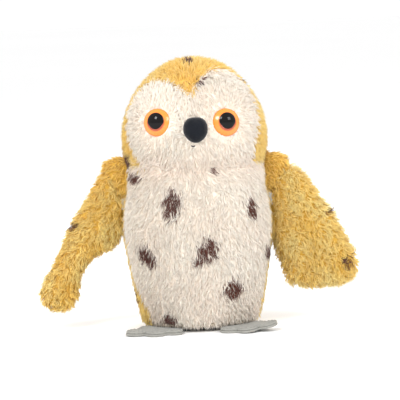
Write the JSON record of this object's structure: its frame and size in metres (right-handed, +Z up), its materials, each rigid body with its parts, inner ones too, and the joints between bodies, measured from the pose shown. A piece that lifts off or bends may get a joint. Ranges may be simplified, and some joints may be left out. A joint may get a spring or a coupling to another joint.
{
  "type": "interactive plush owl",
  "caption": "Stuffed toy owl that flaps both wings by a geared motor, with glossy eyes, a padded beak and felt feet.",
  "frame": {"origin": "on the floor, under the middle of the base plate", "axes": "+Z up, the owl faces -Y, and +X is its own left side"},
  "size_m": [0.2777, 0.1303, 0.229],
  "materials": {
    "cream_plush": "short curly pile",
    "golden_plush": "short curly pile",
    "wing_plush": "nubby curly pile",
    "lining_fabric": "plain weave",
    "polyester_fill": "loose fibre",
    "black_velour": "short velour",
    "grey_felt": "felt",
    "black_thread": "thread",
    "amber_eye": "polished",
    "black_pupil": "polished",
    "white_nylon": "moulded",
    "black_plastic": "moulded",
    "case_plastic": "moulded",
    "steel": "bright",
    "spring_steel": "nickel plated",
    "brass": "turned",
    "cell_jacket": "plastic sleeve",
    "circuit_green": "solder mask",
    "component_black": "moulded",
    "wire_jacket": "insulation",
    "speaker_paper": "pressed paper",
    "foam": "foam"
  },
  "bodies": {
    "torso": {"base_plate": "black_plastic", "base_screws": "steel", "base_fabric": "lining_fabric", "batteries": "cell_jacket", "battery_springs": "spring_steel", "battery_contact_plates": "spring_steel", "power_switch_housing": "component_black", "core_front_shell": "case_plastic", "core_rear_shell": "case_plastic", "core_screws": "steel", "gear_pins": "steel", "motor_can": "steel", "motor_end_cap": "component_black", "speaker_frame": "steel", "speaker_cone": "speaker_paper", "speaker_gasket": "foam", "circuit_board": "circuit_green", "board_components": "component_black", "board_screws": "steel", "button_switch": "component_black", "switch_board": "circuit_green", "microphone": "steel", "power_wires": "wire_jacket", "signal_wires": "wire_jacket", "face_panel": "cream_plush", "crown_panel": "golden_plush", "belly_panel": "cream_plush", "back_panel": "golden_plush", "head_stuffing": "polyester_fill", "body_stuffing": "polyester_fill", "left_eye": "amber_eye", "left_pupil": "black_pupil", "right_eye": "amber_eye", "right_pupil": "black_pupil", "eye_washers": "white_nylon", "beak_cover": "black_velour", "beak_stuffing": "polyester_fill", "beak_stitch": "black_thread", "left_shoulder_gusset": "golden_plush", "right_shoulder_gusset": "golden_plush", "left_foot_sole": "grey_felt", "left_foot_top": "grey_felt", "right_foot_sole": "grey_felt", "right_foot_top": "grey_felt"},
    "left_wing": {"left_wing_skin": "wing_plush", "left_wing_stuffing": "polyester_fill", "left_wing_lever": "white_nylon"},
    "right_wing": {"right_wing_skin": "wing_plush", "right_wing_stuffing": "polyester_fill", "right_wing_lever": "white_nylon"},
    "left_idler": {"left_idler_gear": "white_nylon"},
    "right_idler": {"right_idler_gear": "white_nylon"},
    "second_gear": {"second_gear": "white_nylon"},
    "first_gear": {"first_gear": "white_nylon"},
    "motor_rotor": {"motor_shaft": "steel", "motor_pinion": "brass"},
    "belly_button": {"belly_button": "case_plastic"},
    "power_switch": {"power_switch_knob": "white_nylon"},
    "battery_door": {"battery_door": "black_plastic", "battery_door_screw": "steel"}
  },
  "joints": [
    {"name": "left_wing_flap", "type": "hinge", "parent": "torso", "child": "left_wing", "pos_m": [0.0396, -0.0015, 0.128], "axis": [0, -1, 0], "range_deg": [0, 45], "deforming": ["left_shoulder_gusset"]},
    {"name": "right_wing_flap", "type": "hinge", "parent": "torso", "child": "right_wing", "pos_m": [-0.0396, -0.0015, 0.128], "axis": [0, 1, 0], "range_deg": [0, 45], "deforming": ["right_shoulder_gusset"]},
    {"name": "left_idler_spin", "type": "hinge", "parent": "torso", "child": "left_idler", "pos_m": [0.0132, -0.0015, 0.128], "axis": [0, -1, 0], "range_deg": [-45, 0]},
    {"name": "right_idler_spin", "type": "hinge", "parent": "torso", "child": "right_idler", "pos_m": [-0.0132, -0.0015, 0.128], "axis": [0, -1, 0], "range_deg": [0, 45]},
    {"name": "second_gear_spin", "type": "hinge", "parent": "torso", "child": "second_gear", "pos_m": [0.0132, -0.0015, 0.1104], "axis": [0, -1, 0], "range_deg": [0, 135]},
    {"name": "first_gear_spin", "type": "hinge", "parent": "torso", "child": "first_gear", "pos_m": [0.00021, -0.0015, 0.1029], "axis": [0, -1, 0], "range_deg": [-675, 0]},
    {"name": "motor_spin", "type": "hinge", "parent": "torso", "child": "motor_rotor", "pos_m": [-0.01278, -0.0015, 0.0954], "axis": [0, -1, 0], "range_deg": [0, 3375]},
    {"name": "belly_press", "type": "slide", "parent": "torso", "child": "belly_button", "axis": [0, 1, 0], "range_m": [0, 0.0015], "stiffness_N_per_m": 600, "springref_m": -0.0005},
    {"name": "power_switch_slide", "type": "slide", "parent": "torso", "child": "power_switch", "axis": [1, 0, 0], "range_m": [0, 0.003]},
    {"name": "battery_door_lift_off", "type": "slide", "parent": "torso", "child": "battery_door", "axis": [0, 0, -1], "range_m": [0, 0.03]}
  ],
  "couplings": [
    {"joint": "right_wing_flap", "follows": "left_wing_flap", "ratio": 1},
    {"joint": "left_idler_spin", "follows": "left_wing_flap", "ratio": -1},
    {"joint": "right_idler_spin", "follows": "left_wing_flap", "ratio": 1},
    {"joint": "second_gear_spin", "follows": "left_wing_flap", "ratio": 3},
    {"joint": "first_gear_spin", "follows": "left_wing_flap", "ratio": -15},
    {"joint": "motor_spin", "follows": "left_wing_flap", "ratio": 75}
  ]
}
